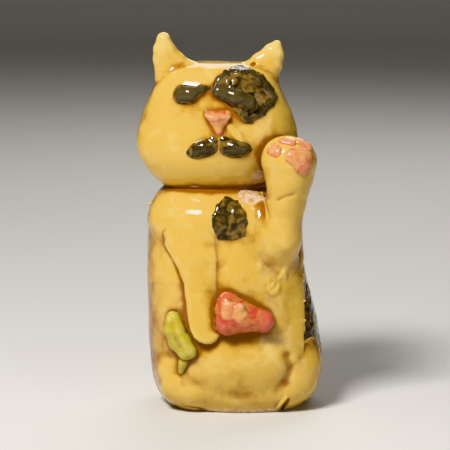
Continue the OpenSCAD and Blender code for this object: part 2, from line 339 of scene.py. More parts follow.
BELLY_FOLD = [(-0.42, 0.15), (-0.12, 0.105), (0.07, 0.095), (0.35, 0.10), (0.52, 0.14)]
SIDE_FOLD = [(0.60, 0.27), (0.63, 0.21), (0.60, 0.15)]
ARM_LIP = [(0.315, 0.985), (0.345, 0.94), (0.37, 0.885)]
LOWER_EDGE = [(-0.75, 0.075), (-0.68, 0.045), (-0.56, 0.03), (-0.34, 0.01)]
NOTCH = [(0.555, 0.012), (0.59, 0.04), (0.625, 0.065)]
NOTCH_LIP = [(0.50, 0.02), (0.55, 0.05), (0.60, 0.08)]
CRUMBLED = [
    (0.55, 0.63, 0.7), (0.52, 0.615, 0.4), (0.57, 0.61, 0.5), (0.385, 0.60, 0.5), (0.40, 0.57, 0.6),
    (0.44, 0.585, 0.4), (0.47, 0.555, 0.7), (0.50, 0.575, 0.35), (0.43, 0.55, 0.4),
    (0.27, 0.675, 0.3), (0.30, 0.66, 0.25), (-0.03, 0.637, 0.3), (0.03, 0.63, 0.3), (0.10, 0.643, 0.3),
    (-0.72, 0.135, 0.6), (-0.64, 0.158, 0.6),
]


def hollow(field, wall):
    """What is left of a lump when it is hollowed out to a wall."""
    return np.maximum(field, -(field + wall))


def rising(distance, softness):
    """Goes from 0 to 1 as the distance goes from below 0 to above it."""
    return 1 / (1 + np.exp(-distance / softness))


def left_of(grid, x):
    return rising(grid.x - x, 0.8)


def above(grid, z, softness=1.0):
    return rising(grid.z - z, softness)


def seam_field(grid):
    """Negative in front of the seam. On the left the panel wraps back, but is torn off over a ledge."""
    ragged = 0.30 * noise(grid, 1.7, 11) + 0.22 * noise(grid, 0.7, 12)
    wraps_right = (1 - left_of(grid, -10)) * above(grid, 13, 3.0)
    wraps_over = above(grid, BODY.height - 4, 0.8)
    wrap = SEAM_WRAP * np.maximum(wraps_right, wraps_over)
    plane = grid.y - SEAM_Y - np.maximum(LEDGE_WRAP * left_of(grid, 8), wrap) - 0.2 * ragged
    torn = np.maximum(TORN_X + ragged - grid.x, LEDGE_Z + ragged - grid.z)
    return np.maximum(plane, -torn)


# Crumbs on the torn edge: distance out from the tear, y, height over the ledge, and radius
CRUMBS = [
    (0.2, -10.2, 1.7, 0.28), (0.1, -9.8, 6.0, 0.22), (0.05, -8.8, 9.8, 0.2), (-0.1, -6.5, 15.0, 0.28),
    (1.6, -7.2, 0.2, 0.25), (2.7, -4.6, 0.1, 0.28),
]
SHOULDER_CRUMB = (-17.0, 0.5, 40.6, 0.45)


def front_panel(grid):
    field = body_mass(grid) - 0.35 * left_of(grid, 13) * above(grid, LEDGE_Z)
    field = hollow(field, WALL)
    field = -join(-field, -seam_field(grid), 0.4)
    for out, y, up, r in CRUMBS:
        field = join(field, ball(grid, (TORN_X + out, y, LEDGE_Z + up, r)), 0.3)
    return np.maximum(field, -grid.z)


def back_shell(grid):
    near_seam = np.exp(-((grid.y - SEAM_Y) / 6.0) ** 2) * above(grid, LEDGE_Z) * (1 - above(grid, 36))
    field = body_mass(grid) + 0.8 * left_of(grid, 9) * near_seam
    field = hollow(field, WALL)
    field = -join(-field, seam_field(grid) + SEAM_LAP, 0.3)
    return join(np.maximum(field, -grid.z), ball(grid, SHOULDER_CRUMB), 0.3)


def base_slab(grid):
    row = BODY.rows[0]
    side = np.abs(grid.x - BODY.x) / (BODY.half_w * row[1] - 0.5)
    depth = np.abs(grid.y - BODY.y) / (BODY.half_d * row[2] - 0.5)
    share = (side ** BODY.square + depth ** BODY.square) ** (1 / BODY.square)
    field = np.maximum((share - 1) * BODY.half_d, np.abs(grid.z - SLAB_T / 2) - SLAB_T / 2)
    vent = np.sqrt(grid.x ** 2 + (grid.y - BODY.half_d / 2) ** 2) - VENT_R
    return cut(field, vent + 0 * grid.z, 0.3)


def head_mass(grid):
    """The head as one lump, with a fuller chin and a raised stroke on the cheek."""
    field = HEAD.field(grid) - lumps(grid, 1.2)
    chin = egg(grid, HEAD.at(-0.05, -0.3, 0.36, 0)[:3], (13.5, 7.2, 8.5))
    field = join(field, chin, 2.0)
    cheek = [(0.10, 0.56), (0.20, 0.50), (0.30, 0.40)]
    field = field + stroke(grid, HEAD, cheek, 0.6, -0.25)
    return cut(field, neck_gap(grid), 0.4)


def head(grid):
    field = head_mass(grid)
    crumbs = [(0.12, 0.99, 0.35), (0.30, 0.985, 0.28), (0.22, 0.99, 0.25)]
    for x, z, r in crumbs:
        field = join(field, ball(grid, HEAD.at(x, -0.15, z, r)), 0.2)
    return field


def neck_coil(grid):
    """The ring of clay that lutes the head to the body."""
    half_w, half_d, mean_r, coil_r, stretch = 9.3, 6.8, 7.5, 1.4, 1.1
    x = (grid.x - HEAD.x - 0.8) / half_w
    y = (grid.y - HEAD.y - 1) / half_d
    across = (np.sqrt(x * x + y * y) - 1) * mean_r
    field = np.sqrt((across + 1.2) ** 2 + ((grid.z - BODY.height) / stretch) ** 2) - coil_r
    return field - 0.1 * noise(grid, 1.5, 21)


def ear(grid, outer, inner, bulk):
    """A pinched slab between its outer and its inner edge, thicker at its root."""
    field = strap(grid, outer, inner, 5, 0.8)
    field = join(field, cone(grid, between(outer[1], inner[1], 0.5), bulk), 1.5)
    return pressed(field - lumps(grid, 0.4), head_mass(grid), 1.3, reach=2.2)


def left_ear(grid):
    outer = [
        HEAD.at(0.748, -0.12, 1.148, 0.4),
        HEAD.at(0.745, -0.11, 1.06, 1.0),
        HEAD.at(0.715, -0.10, 0.98, 1.2),
        HEAD.at(0.66, -0.09, 0.89, 1.3),
    ]
    inner = [
        HEAD.at(0.71, -0.12, 1.14, 0.45),
        HEAD.at(0.634, -0.11, 1.10, 0.85),
        HEAD.at(0.50, -0.10, 1.02, 1.2),
        HEAD.at(0.365, -0.09, 0.945, 1.3),
    ]
    field = ear(grid, outer, inner, HEAD.at(0.56, 0.02, 0.92, 2.3))
    return cut(field, ball(grid, HEAD.at(0.435, -0.27, 1.0, 0.55)), 0.2)


def right_ear(grid):
    outer = [
        HEAD.at(-0.668, -0.17, 1.19, 1.0),
        HEAD.at(-0.704, -0.15, 1.11, 1.2),
        HEAD.at(-0.705, -0.13, 1.03, 1.3),
        HEAD.at(-0.675, -0.11, 0.89, 1.4),
    ]
    inner = [
        HEAD.at(-0.655, -0.17, 1.18, 1.0),
        HEAD.at(-0.59, -0.15, 1.095, 1.2),
        HEAD.at(-0.485, -0.13, 1.025, 1.3),
        HEAD.at(-0.335, -0.11, 0.955, 1.4),
    ]
    field = ear(grid, outer, inner, HEAD.at(-0.55, -0.02, 0.935, 2.5))
    slit = [(-0.66, 0.845), (-0.60, 0.83), (-0.52, 0.885), (-0.40, 0.965)]
    return field + stroke(grid, HEAD, slit, 0.2, 0.25)


def right_eye(grid):
    field = chain(grid, [
        HEAD.on(-0.415, 0.772, 1.85, 1.5),
        HEAD.on(-0.325, 0.775, 1.45, 1.5),
        HEAD.on(-0.20, 0.807, 0.7, 1.0),
        HEAD.on(-0.11, 0.828, 0.3, 0.5),
    ], 0.8)
    return pressed(field - 0.05 * noise(grid, 1.2, 31), head_mass(grid), 0.45)


def left_eye(grid):
    field = chain(grid, [
        HEAD.on(0.02, 0.80, 1.35, 1.8),
        HEAD.on(0.215, 0.76, 1.6, 1.95),
        HEAD.on(0.375, 0.715, 1.7, 1.95),
    ], 0.8)
    return pressed(field - 0.06 * noise(grid, 1.0, 32), head_mass(grid), 0.35)


EYE_PATCH = [
    (-0.065, 0.865), (-0.004, 0.92), (0.105, 0.965), (0.25, 0.99), (0.40, 0.98), (0.553, 0.922),
    (0.699, 0.805), (0.745, 0.725), (0.70, 0.668), (0.615, 0.65), (0.54, 0.60), (0.42, 0.565),
    (0.336, 0.552), (0.263, 0.605), (0.19, 0.66), (0.093, 0.705), (-0.004, 0.752), (-0.065, 0.81),
]


def eye_patch(grid):
    edge = outline_field(grid, HEAD, EYE_PATCH) + 0.35 * noise(grid, 1.3, 33) + 0.12 * noise(grid, 0.5, 34)
    base, sunk = head_mass(grid), 0.5
    rough = 0.16 * noise(grid, 1.6, 35) + 0.07 * noise(grid, 0.6, 36)
    rim = 0.22 * np.exp(-((edge + 0.7) / 0.5) ** 2)
    field = -join(-(base - 0.28 - rim - rough), -edge, 0.5)
    return np.maximum(field, np.maximum(-(base + sunk), grid.y - HEAD.y))


def nose(grid):
    """A wedge with a flat top facet and a ridge that runs down to its apex."""
    left = HEAD.on(0.135, 0.612, 0.35, 1.3)
    right = HEAD.on(-0.13, 0.62, 0.35, 1.3)
    ridge = HEAD.on(-0.01, 0.60, 0.4, 2.0)
    apex = HEAD.on(0.025, 0.495, 0.4, 0.8)
    root_left = HEAD.on(0.11, 0.622, 0.5, 0.3)
    root_right = HEAD.on(-0.10, 0.628, 0.5, 0.3)
    field = fan(grid, apex, left, ridge, 5, 0.25)
    field = join(field, fan(grid, apex, right, ridge, 5, 0.25), 0.25)
    field = join(field, strap(grid, [ridge, root_left], [ridge, root_right], 5, 0.3), 0.3)
    field = join(field, strap(grid, [left, root_left], [right, root_right], 6, 0.3), 0.3)
    field = join(field, fan(grid, apex, root_left, root_right, 5, 0.4), 0.4)
    return pressed(field - 0.03 * noise(grid, 1.0, 37), head_mass(grid), 0.5, reach=0.8)


def muzzle(grid, balls, seed):
    field = chain(grid, balls, 1.0) - 0.1 * noise(grid, 1.5, seed)
    return pressed(field, head_mass(grid), 0.4)


def right_muzzle(grid):
    return muzzle(grid, [
        HEAD.on(-0.05, 0.425, 0.95, 1.0),
        HEAD.on(-0.065, 0.375, 1.0, 1.1),
        HEAD.on(-0.165, 0.365, 1.5, 1.4),
        HEAD.on(-0.25, 0.345, 1.4, 1.3),
        HEAD.on(-0.325, 0.335, 1.1, 0.9),
    ], 38)


def left_muzzle(grid):
    return muzzle(grid, [
        HEAD.on(0.085, 0.42, 0.95, 1.0),
        HEAD.on(0.10, 0.365, 1.0, 1.1),
        HEAD.on(0.20, 0.365, 1.6, 1.5),
        HEAD.on(0.30, 0.36, 1.2, 1.2),
        HEAD.on(0.41, 0.355, 0.3, 0.4),
    ], 39)


ELBOW = BODY.at(0.54, -0.56, 0.67, 1.8)
FOREARM = BODY.at(0.55, -0.69, 0.785, 3.5)
WRIST = BODY.at(0.59, -0.77, 0.965, 3.6)
HEEL = BODY.at(0.615, -0.80, 1.055, 4.0)
PAW_LEFT = BODY.at(0.676, -0.83, 1.13, 4.5)
PAW_RIGHT = BODY.at(0.556, -0.83, 1.137, 4.4)
PAW = BODY.at(0.616, -0.83, 1.134, 4.5)
PAW_REACH = 5.5


def on_paw(turn, rise, r):
    """A ball centred on the paw's skin, turned to the cat's left and raised from straight ahead."""
    turn, rise = math.radians(turn), math.radians(rise)
    way = (math.cos(rise) * math.sin(turn), -math.cos(rise) * math.cos(turn), math.sin(rise))
    reach = (PAW_REACH, PAW[3], PAW[3])
    return tuple(PAW[k] + reach[k] * way[k] for k in range(3)) + (r,)


def arm_mass(grid):
    field = chain(grid, [ELBOW, FOREARM, WRIST, HEEL], 1.5)
    field = join(field, fan(grid, HEEL, PAW_LEFT, PAW_RIGHT, 3, 1.5), 1.5) - lumps(grid, 0.8)
    wrist = [(0.49, 0.968), (0.58, 0.985), (0.66, 0.995)]
    return field + stroke(grid, BODY, wrist, 0.4, 0.22)


def raised_arm(grid):
    """Smoothed into the chest with a wide fillet, but only leant against the cheek."""
    arm, body, cheek = arm_mass(grid), body_mass(grid), head_mass(grid)
    joined = np.minimum(join(body + FILM, arm, 3.0), join(cheek + FILM, arm, 0.5))
    return np.maximum(np.maximum(joined, arm - 3.2), -(np.minimum(body, cheek) + ROOT))


def pad(grid, balls, proud, seed):
    """A low cushion on the paw, over the area that the balls cover."""
    area = chain(grid, balls, 0.6) - 0.12 * noise(grid, 1.0, seed)
    skin_gap = arm_mass(grid)
    field = -join(-(skin_gap - proud), -area, 1.1)
    return np.maximum(field, -(skin_gap + ROOT))


def palm_pad(grid):
    balls = [on_paw(6, 17, 1.7), on_paw(34, 14, 1.9), on_paw(30, -9, 1.7), on_paw(24, 4, 2.0)]
    return pad(grid, balls, 0.65, 41)


def inner_toe_pad(grid):
    return pad(grid, [on_paw(-42, 32, 1.5), on_paw(-30, 28, 1.3)], 0.6, 42)


def middle_toe_pad(grid):
    return pad(grid, [on_paw(-22, 58, 1.2), on_paw(6, 56, 1.3)], 0.6, 43)


def outer_toe_pad(grid):
    return pad(grid, [on_paw(42, 58, 1.3), on_paw(60, 38, 1.2)], 0.6, 44)


LOWERED_ARM = [
    (-0.835, 0.81), (-0.80, 0.755), (-0.72, 0.71), (-0.635, 0.655), (-0.575, 0.59), (-0.548, 0.52),
    (-0.535, 0.44), (-0.505, 0.39), (-0.46, 0.357), (-0.40, 0.337), (-0.33, 0.33), (-0.26, 0.333),
    (-0.20, 0.346), (-0.15, 0.37), (-0.12, 0.405), (-0.125, 0.45), (-0.165, 0.59), (-0.165, 0.70),
    (-0.185, 0.80), (-0.30, 0.87), (-0.55, 0.89), (-0.76, 0.87),
]


def lowered_arm_mass(grid):
    """A slab that stands proud at its outer edge and its paw, and fades into the chest and shoulder."""
    across = (grid.x - BODY.x) / BODY.half_w
    up = grid.z / BODY.height
    outer = np.interp(across, [-0.50, -0.18], [1.0, 0.0])
    paw = np.interp(up, [0.36, 0.56], [1.0, 0.0])
    fade = np.interp(up, [0.70, 0.84], [1.0, 0.0])
    height = (0.15 + 1.15 * outer + 1.3 * paw) * fade + lumps(grid, 0.5)
    edge = outline_field(grid, BODY, LOWERED_ARM) - 0.15 * noise(grid, 2.2, 45)
    return np.maximum(-join(-(body_mass(grid) - height), -edge, 1.3), grid.y)


def lowered_arm(grid):
    base = body_mass(grid)
    return np.maximum(join(lowered_arm_mass(grid), base + 0.25, 0.5), -(base + ROOT))


def torso(grid):
    """What the charms and patches are pressed onto."""
    return np.minimum(body_mass(grid), lowered_arm_mass(grid))


RED_CHARM = [
    BODY.on(-0.075, 0.515, 2.1, 2.9),
    BODY.on(-0.085, 0.42, 2.2, 3.4),
    BODY.on(0.325, 0.433, 1.6, 2.8),
]


def red_charm_mass(grid):
    top, low, end = RED_CHARM
    field = fan(grid, end, top, low, 6, 1.0)
    return field - 0.16 * noise(grid, 2.0, 51) - 0.05 * noise(grid, 0.8, 50)


def red_charm(grid):
    return pressed(red_charm_mass(grid), torso(grid), 0.35, reach=0.9)


def charm_knob(grid):
    """A low dome of paler clay on the red charm, with a small nipple on it."""
    charm = red_charm_mass(grid)
    area = chain(grid, [BODY.on(-0.05, 0.49, 2.2, 5.2), BODY.on(0.055, 0.475, 2.1, 5.1)], 1.0)
    field = -join(-(charm - 0.4), -(area - 0.3 * noise(grid, 1.2, 52)), 1.4)
    field = join(field, ball(grid, BODY.on(0.075, 0.505, 0.75, 4.1)), 0.9)
    return np.maximum(field, -(charm + ROOT))


def green_charm(grid):
    """Two rolls side by side, with a furrow between them."""
    left = [
        BODY.on(-0.71, 0.43, 1.3, 1.9),
        BODY.on(-0.715, 0.385, 1.4, 2.1),
        BODY.on(-0.65, 0.325, 1.4, 2.2),
        BODY.on(-0.555, 0.285, 1.4, 2.2),
    ]
    right = [
        BODY.on(-0.68, 0.435, 1.3, 1.9),
        BODY.on(-0.63, 0.385, 1.5, 2.3),
        BODY.on(-0.565, 0.335, 1.6, 2.5),
        BODY.on(-0.505, 0.295, 1.6, 2.4),
    ]
    field = strap(grid, left, right, 2, 0.6) - 0.18 * noise(grid, 1.8, 53)
    furrow = [(-0.70, 0.42), (-0.68, 0.37), (-0.61, 0.315)]
    field = field + stroke(grid, BODY, furrow, 0.6, 0.22)
    return pressed(field, torso(grid), 0.25, reach=0.9)


def green_charm_bud(grid):
    field = chain(grid, [BODY.on(-0.575, 0.24, 1.0, 1.3), BODY.on(-0.60, 0.20, 0.6, 0.8)])
    return pressed(field - 0.08 * noise(grid, 0.9, 54), torso(grid), 0.25, reach=0.8)


CHEST_PATCH = [
    (-0.25, 0.895), (-0.20, 0.94), (-0.09, 0.97), (0.045, 0.955), (0.135, 0.91),
    (0.155, 0.86), (0.12, 0.805), (-0.025, 0.785), (-0.18, 0.79), (-0.25, 0.84),
]


def patch(grid, edge, thick, seed):
    """A rough slab of black clay pressed into the body inside an edge, standing this far out."""
    base, sunk = body_mass(grid), 1.3
    edge = edge + 0.25 * noise(grid, 1.0, seed) + 0.12 * noise(grid, 0.5, seed + 1)
    rough = 0.09 * noise(grid, 1.1, seed + 2) + 0.05 * noise(grid, 0.5, seed + 3)
    field = -join(-(base - thick - rough), -edge, 0.4)
    return np.maximum(field, -(base + sunk))


def chest_patch(grid):
    return np.maximum(patch(grid, outline_field(grid, BODY, CHEST_PATCH), 0.25, 61), grid.y)


FLANK_PATCH = [
    (-0.80, 0.26), (-0.80, 0.60), (-0.33, 0.78), (0.14, 0.805), (0.345, 0.635), (0.415, 0.455),
    (0.14, 0.28), (-0.275, 0.265),
]
SHOULDER_PATCH = [(0.12, 0.82), (0.16, 0.88), (0.30, 0.915), (0.515, 0.885), (0.55, 0.805), (0.30, 0.77)]


def flank_patch(grid):
    edge = outline_field(grid, BODY, FLANK_PATCH, front=False)
    return np.maximum(patch(grid, edge, -0.15, 65), TORN_X - 2 - grid.x)


def shoulder_patch(grid):
    edge = outline_field(grid, BODY, SHOULDER_PATCH, front=False)
    return np.maximum(patch(grid, edge, 0.25, 69), grid.x)


def foot(grid, balls):
    field = chain(grid, balls, 2.0) - lumps(grid, 0.7)
    return np.maximum(pressed(field, body_mass(grid), 2.6, reach=2.7), -grid.z)


def left_foot(grid):
    return foot(grid, [
        BODY.on(0.64, 0.10, 2.6, -0.1),
        BODY.on(0.73, 0.14, 3.4, 0.1),
        BODY.on(0.80, 0.20, 3.4, 0.0),
    ])


def right_foot(grid):
    return foot(grid, [
        BODY.on(-0.50, 0.09, 2.2, 0.1),
        BODY.on(-0.64, 0.12, 2.8, 0.3),
        BODY.on(-0.70, 0.18, 2.6, 0.1),
    ])


def tail(grid):
    field = chain(grid, [
        BODY.at(0.055, 0.87, 0.075, 2.3),
        BODY.at(0.07, 0.91, 0.16, 2.3),
        BODY.at(-0.025, 0.925, 0.245, 2.1),
        BODY.at(-0.185, 0.91, 0.305, 1.9),
    ], 0.8) - 0.1 * noise(grid, 1.6, 71)
    return pressed(field, body_mass(grid), 0.6)


# ---------------------------------------------------------------- from field to mesh

CORNERS = np.array(list(itertools.product((0, 1), repeat=3)))
EDGES = [(a, b) for a, b in itertools.combinations(range(8), 2) if abs(CORNERS[a] - CORNERS[b]).sum() == 1]


def sample(volume, grid, points):
    """The volume's value at points, between its samples."""
    place = np.clip((points - grid.low) / grid.step, 0, np.array(volume.shape) - 1.001)
    cell = place.astype(int)
    t = place - cell
    out = 0
    for corner in CORNERS:
        weight = np.prod(np.where(corner, t, 1 - t), axis=1)
        out = out + weight * volume[tuple((cell + corner).T)]
    return out


def skin(field, grid):
    """Surface nets: a vertex in each cell that the surface crosses, a face across each crossed edge."""
    inside = field < 0
    parts = [inside[i:inside.shape[0] - 1 + i, j:inside.shape[1] - 1 + j, k:inside.shape[2] - 1 + k]
             for i, j, k in CORNERS]
    count = sum(part.astype(np.uint8) for part in parts)
    cells = np.argwhere((count > 0) & (count < 8))
    number = np.full(count.shape, -1, np.int32)
    number[tuple(cells.T)] = np.arange(len(cells))
    value = [field[tuple((cells + corner).T)] for corner in CORNERS]
    total = np.zeros((len(cells), 3))
    crossings = np.zeros(len(cells))
    for a, b in EDGES:
        crossed = (value[a] < 0) != (value[b] < 0)
        share = np.where(crossed, value[a] / np.where(crossed, value[a] - value[b], 1), 0)
        point = CORNERS[a] + share[:, None] * (CORNERS[b] - CORNERS[a])
        total += crossed[:, None] * point
        crossings += crossed
    vertices = grid.low + grid.step * (cells + total / crossings[:, None])
    quads = []
    for axis in range(3):
        solid = np.moveaxis(inside, axis, 0)
        cell = np.moveaxis(number, axis, 0)
        changed = solid[:-1, 1:-1, 1:-1] != solid[1:, 1:-1, 1:-1]
        i, u, v = np.nonzero(changed)
        quad = np.stack([cell[i, u, v], cell[i, u + 1, v], cell[i, u + 1, v + 1], cell[i, u, v + 1]], axis=1)
        turned = solid[i, u + 1, v + 1] == (axis == 1)
        quad[turned] = quad[turned][:, ::-1]
        quads.append(quad)
    return vertices, np.concatenate(quads)


def settle(vertices, field, grid):
    """Moves the vertices onto the surface itself."""
    for _ in range(2):
        value = sample(field, grid, vertices)
        slope = np.stack([
            sample(field, grid, vertices + step) - sample(field, grid, vertices - step)
            for step in np.eye(3) * grid.step * 0.5
        ], axis=1) / grid.step
        move = (value / np.maximum((slope ** 2).sum(axis=1), 0.1))[:, None] * slope
        vertices = vertices - np.clip(move, -0.4 * grid.step, 0.4 * grid.step)
    return vertices


def blur(volume, width):
    """Gaussian blur, with a width in samples."""
    reach = int(math.ceil(2.5 * width))
    weights = np.exp(-0.5 * (np.arange(-reach, reach + 1) / width) ** 2)
    weights /= weights.sum()
    for axis in range(3):
        padded = np.pad(volume, [(reach, reach) if k == axis else (0, 0) for k in range(3)], mode="edge")
        count = volume.shape[axis]
        volume = sum(w * padded.take(range(i, i + count), axis) for i, w in enumerate(weights))
    return volume


PIECES = {
    "base_slab": (base_slab, SLAB_STEP, "bare_clay"),
    "body_back_shell": (back_shell, SHELL_STEP, "honey_glaze"),
    "body_front_panel": (front_panel, BODY_STEP, "honey_glaze"),
    "neck_coil": (neck_coil, LIMB_STEP, "honey_glaze"),
    "head": (head, HEAD_STEP, "honey_glaze"),
    "left_ear": (left_ear, LIMB_STEP, "honey_glaze"),
    "right_ear": (right_ear, LIMB_STEP, "honey_glaze"),
    "left_eye": (left_eye, TRIM_STEP, "black_glaze"),
    "right_eye": (right_eye, TRIM_STEP, "black_glaze"),
    "eye_patch": (eye_patch, TRIM_STEP, "black_glaze"),
    "nose": (nose, TRIM_STEP, "pink_glaze"),
    "left_muzzle": (left_muzzle, TRIM_STEP, "black_glaze"),
    "right_muzzle": (right_muzzle, TRIM_STEP, "black_glaze"),
    "raised_arm": (raised_arm, LIMB_STEP, "honey_glaze"),
    "palm_pad": (palm_pad, TRIM_STEP, "pink_glaze"),
    "inner_toe_pad": (inner_toe_pad, TRIM_STEP, "pink_glaze"),
    "middle_toe_pad": (middle_toe_pad, TRIM_STEP, "pink_glaze"),
    "outer_toe_pad": (outer_toe_pad, TRIM_STEP, "pink_glaze"),
    "lowered_arm": (lowered_arm, LIMB_STEP, "honey_glaze"),
    "red_charm": (red_charm, TRIM_STEP, "red_glaze"),
    "charm_knob": (charm_knob, TRIM_STEP, "pink_glaze"),
    "green_charm": (green_charm, TRIM_STEP, "green_glaze"),
    "green_charm_bud": (green_charm_bud, TRIM_STEP, "green_glaze"),
    "chest_patch": (chest_patch, TRIM_STEP, "black_glaze"),
    "flank_patch": (flank_patch, LIMB_STEP, "black_glaze"),
    "shoulder_patch": (shoulder_patch, LIMB_STEP, "black_glaze"),
    "left_foot": (left_foot, LIMB_STEP, "honey_glaze"),
    "right_foot": (right_foot, LIMB_STEP, "honey_glaze"),
    "tail": (tail, LIMB_STEP, "black_glaze"),
}
MARGIN = 2.0    # a piece's grid reaches this far past its CAD node, or further where a fillet spreads
WIDER_MARGIN = {
    "raised_arm": 4.0, "lowered_arm": 5.0, "left_ear": 2.5, "right_ear": 2.5,
    "left_foot": 7.0, "right_foot": 7.0,
}
# How much further forward and back two pieces reach, because their seam isn't flat as in the CAD
SEAM_REACH = {"body_back_shell": (5.0, 0), "body_front_panel": (0, SEAM_WRAP)}


def piece_box(name):
    """Where a piece is sculpted: round its CAD node, with room for its fillet."""
    low, high = cad_box(name)
    room = WIDER_MARGIN.get(name, MARGIN)
    forward, backward = SEAM_REACH.get(name, (0, 0))
    return low - room - (0, forward, 0), high + room + (0, backward, 0)


def pooling():
    """Two blurred copies of the whole figurine: over 0.5 in a crease, under 0.5 on an edge."""
    low, high = cad_box(*PIECES)
    edge, empty = 4, 9.0
    whole = Grid(low - edge, high + edge, POOL_STEP)
    filled = np.full(whole.shape, empty, np.float32)
    for name, (shape, _, _) in PIECES.items():
        low, high = piece_box(name)
        start = np.floor((low - whole.low) / POOL_STEP).astype(int)
        stop = np.minimum(np.ceil((high - whole.low) / POOL_STEP).astype(int), whole.shape)
        start = np.maximum(start, 0)
        part = Grid(whole.low + start * POOL_STEP, whole.low + (stop - 1) * POOL_STEP, POOL_STEP)
        window = tuple(slice(a, a + n) for a, n in zip(start, part.shape))
        filled[window] = np.minimum(filled[window], shape(part))
    solid = np.clip(0.5 - filled / POOL_STEP, 0, 1)
    return whole, blur(solid, POOL_FINE / POOL_STEP), blur(solid, POOL_BROAD / POOL_STEP)


def attribute(mesh, name, values):
    layer = mesh.attributes.new(name, "FLOAT", "POINT")
    layer.data.foreach_set("value", values.astype(np.float32))


def sculpt(name, shape, step, material, pools):
    """Makes one piece: its mesh, its attributes and its material."""
    low, high = piece_box(name)
    grid = Grid(low, high, step)
    field = np.broadcast_to(shape(grid), grid.shape).astype(np.float32)
    vertices, quads = skin(field, grid)
    vertices = settle(vertices, field, grid)
    mesh = bpy.data.meshes.new(name)
    mesh.vertices.add(len(vertices))
    mesh.vertices.foreach_set("co", (vertices * MM).astype(np.float32).ravel())
    mesh.loops.add(quads.size)
    mesh.loops.foreach_set("vertex_index", quads.astype(np.int32).ravel())
    mesh.polygons.add(len(quads))
    mesh.polygons.foreach_set("loop_start", np.arange(0, quads.size, 4, dtype=np.int32))
    mesh.polygons.foreach_set("loop_total", np.full(len(quads), 4, np.int32))
    mesh.polygons.foreach_set("use_smooth", np.ones(len(quads), bool))
    mesh.update(calc_edges=True)
    mesh.validate()
    whole, fine, broad = pools
    attribute(mesh, "crease", sample(fine, whole, vertices))
    attribute(mesh, "hollow", sample(broad, whole, vertices))
    attribute(mesh, "bare", bareness(vertices))
    # painted shade on the flanks, and a darker tone lower down
    attribute(mesh, "shade_and_low_tone", flank_shade_and_low_tone(mesh, vertices))
    mesh.materials.append(MATERIALS[material])
    piece = bpy.data.objects.new("clay_" + name, mesh)
    bpy.context.scene.collection.objects.link(piece)
    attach(piece, "root")
    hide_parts(name)
    return piece


def bareness(points):
    """1 where the glaze didn't reach: the foot rim, and by the gap beside the raised arm."""
    x, y, z = points.T
    front = np.exp(-((x - 2.5) / 9) ** 4) * (y < 0)
    rim = np.clip(1.3 - z / (0.45 + 0.6 * front), 0, 1)
    spots = [
        (BODY.at(0.20, -0.68, 0.98, 0), (2.9, 3.4, 1.9)),
        (HEAD.at(0.50, -0.80, 0.125, 0), (1.3, 2.5, 1.4)),
    ]
    out = rim
    for centre, radii in spots:
        gap = np.sqrt((((points - centre[:3]) / radii) ** 2).sum(axis=1))
        out = np.maximum(out, np.clip((1.25 - gap) / 0.4, 0, 1))
    return out


def flank_shade_and_low_tone(mesh, points):
    """Painted shade: the glaze colour deepens on the flanks, where the light falls off, more than on the
    front and back; it also deepens lower down.
    """
    normals = np.empty(len(points) * 3, np.float32)
    mesh.vertices.foreach_get("normal", normals)
    sideways = np.clip((np.abs(normals.reshape(-1, 3)[:, 0]) - 0.45) / 0.55, 0, 1)
    low = np.clip(1 - points[:, 2] / 30, 0, 1)
    return sideways ** 1.5 + 0.4 * low


# ---------------------------------------------------------------- materials

class Nodes:
    """A short way to wire a material."""

    def __init__(self, name):
        self.material = bpy.data.materials.new(name)
        self.material.use_nodes = True
        self.tree = self.material.node_tree
        self.tree.nodes.clear()
        self.shader = self.tree.nodes.new("ShaderNodeBsdfPrincipled")
        out = self.tree.nodes.new("ShaderNodeOutputMaterial")
        self.link(self.shader.outputs[0], out.inputs["Surface"])
        self.place = self.tree.nodes.new("ShaderNodeTexCoord").outputs["Object"]

    def link(self, source, target):
        self.tree.links.new(source, target)

    def attribute(self, name):
        node = self.tree.nodes.new("ShaderNodeAttribute")
        node.attribute_name = name
        return node.outputs["Fac"]

    def noise(self, scale, detail=3.0, distortion=0.0):
        node = self.tree.nodes.new("ShaderNodeTexNoise")
        node.inputs["Scale"].default_value = scale
        node.inputs["Detail"].default_value = detail
        node.inputs["Distortion"].default_value = distortion
        self.link(self.place, node.inputs["Vector"])
        return node.outputs["Fac"]

    def ramp(self, source, low, high, to_low=0.0, to_high=1.0):
        node = self.tree.nodes.new("ShaderNodeMapRange")
        node.inputs["From Min"].default_value = low
        node.inputs["From Max"].default_value = high
        node.inputs["To Min"].default_value = to_low
        node.inputs["To Max"].default_value = to_high
        node.interpolation_type = "SMOOTHSTEP"
        self.link(source, node.inputs["Value"])
        return node.outputs["Result"]

    def maths(self, operation, a, b):
        node = self.tree.nodes.new("ShaderNodeMath")
        node.operation = operation
        for socket, value in zip(node.inputs, (a, b)):
            if isinstance(value, (int, float)):
                socket.default_value = value
            else:
                self.link(value, socket)
        return node.outputs[0]

    def mix(self, share, a, b):
        """Colour a where share is 0 and b where it is 1."""
        node = self.tree.nodes.new("ShaderNodeMix")
        node.data_type = "RGBA"
        self.link(share, node.inputs["Factor"])
        for socket, value in ((node.inputs["A"], a), (node.inputs["B"], b)):
            if isinstance(value, tuple):
                socket.default_value = value + (1.0,)
            else:
                self.link(value, socket)
        return node.outputs["Result"]

    def bump(self, height, distance):
        node = self.tree.nodes.new("ShaderNodeBump")
        node.inputs["Distance"].default_value = distance
        self.link(height, node.inputs["Height"])
        self.link(node.outputs["Normal"], self.shader.inputs["Normal"])


def colour(red, green, blue):
    """A colour given as it looks on screen, 0 to 255, in the linear values that shaders take."""
    return tuple(((v / 255 + 0.055) / 1.055) ** 2.4 for v in (red, green, blue))


BARE_CLAY = colour(216, 190, 156)
DARKER_CLAY = colour(180, 142, 102)
GLAZE_ROUGHNESS = (0.05, 0.11)
GLAZE_IOR = 1.52


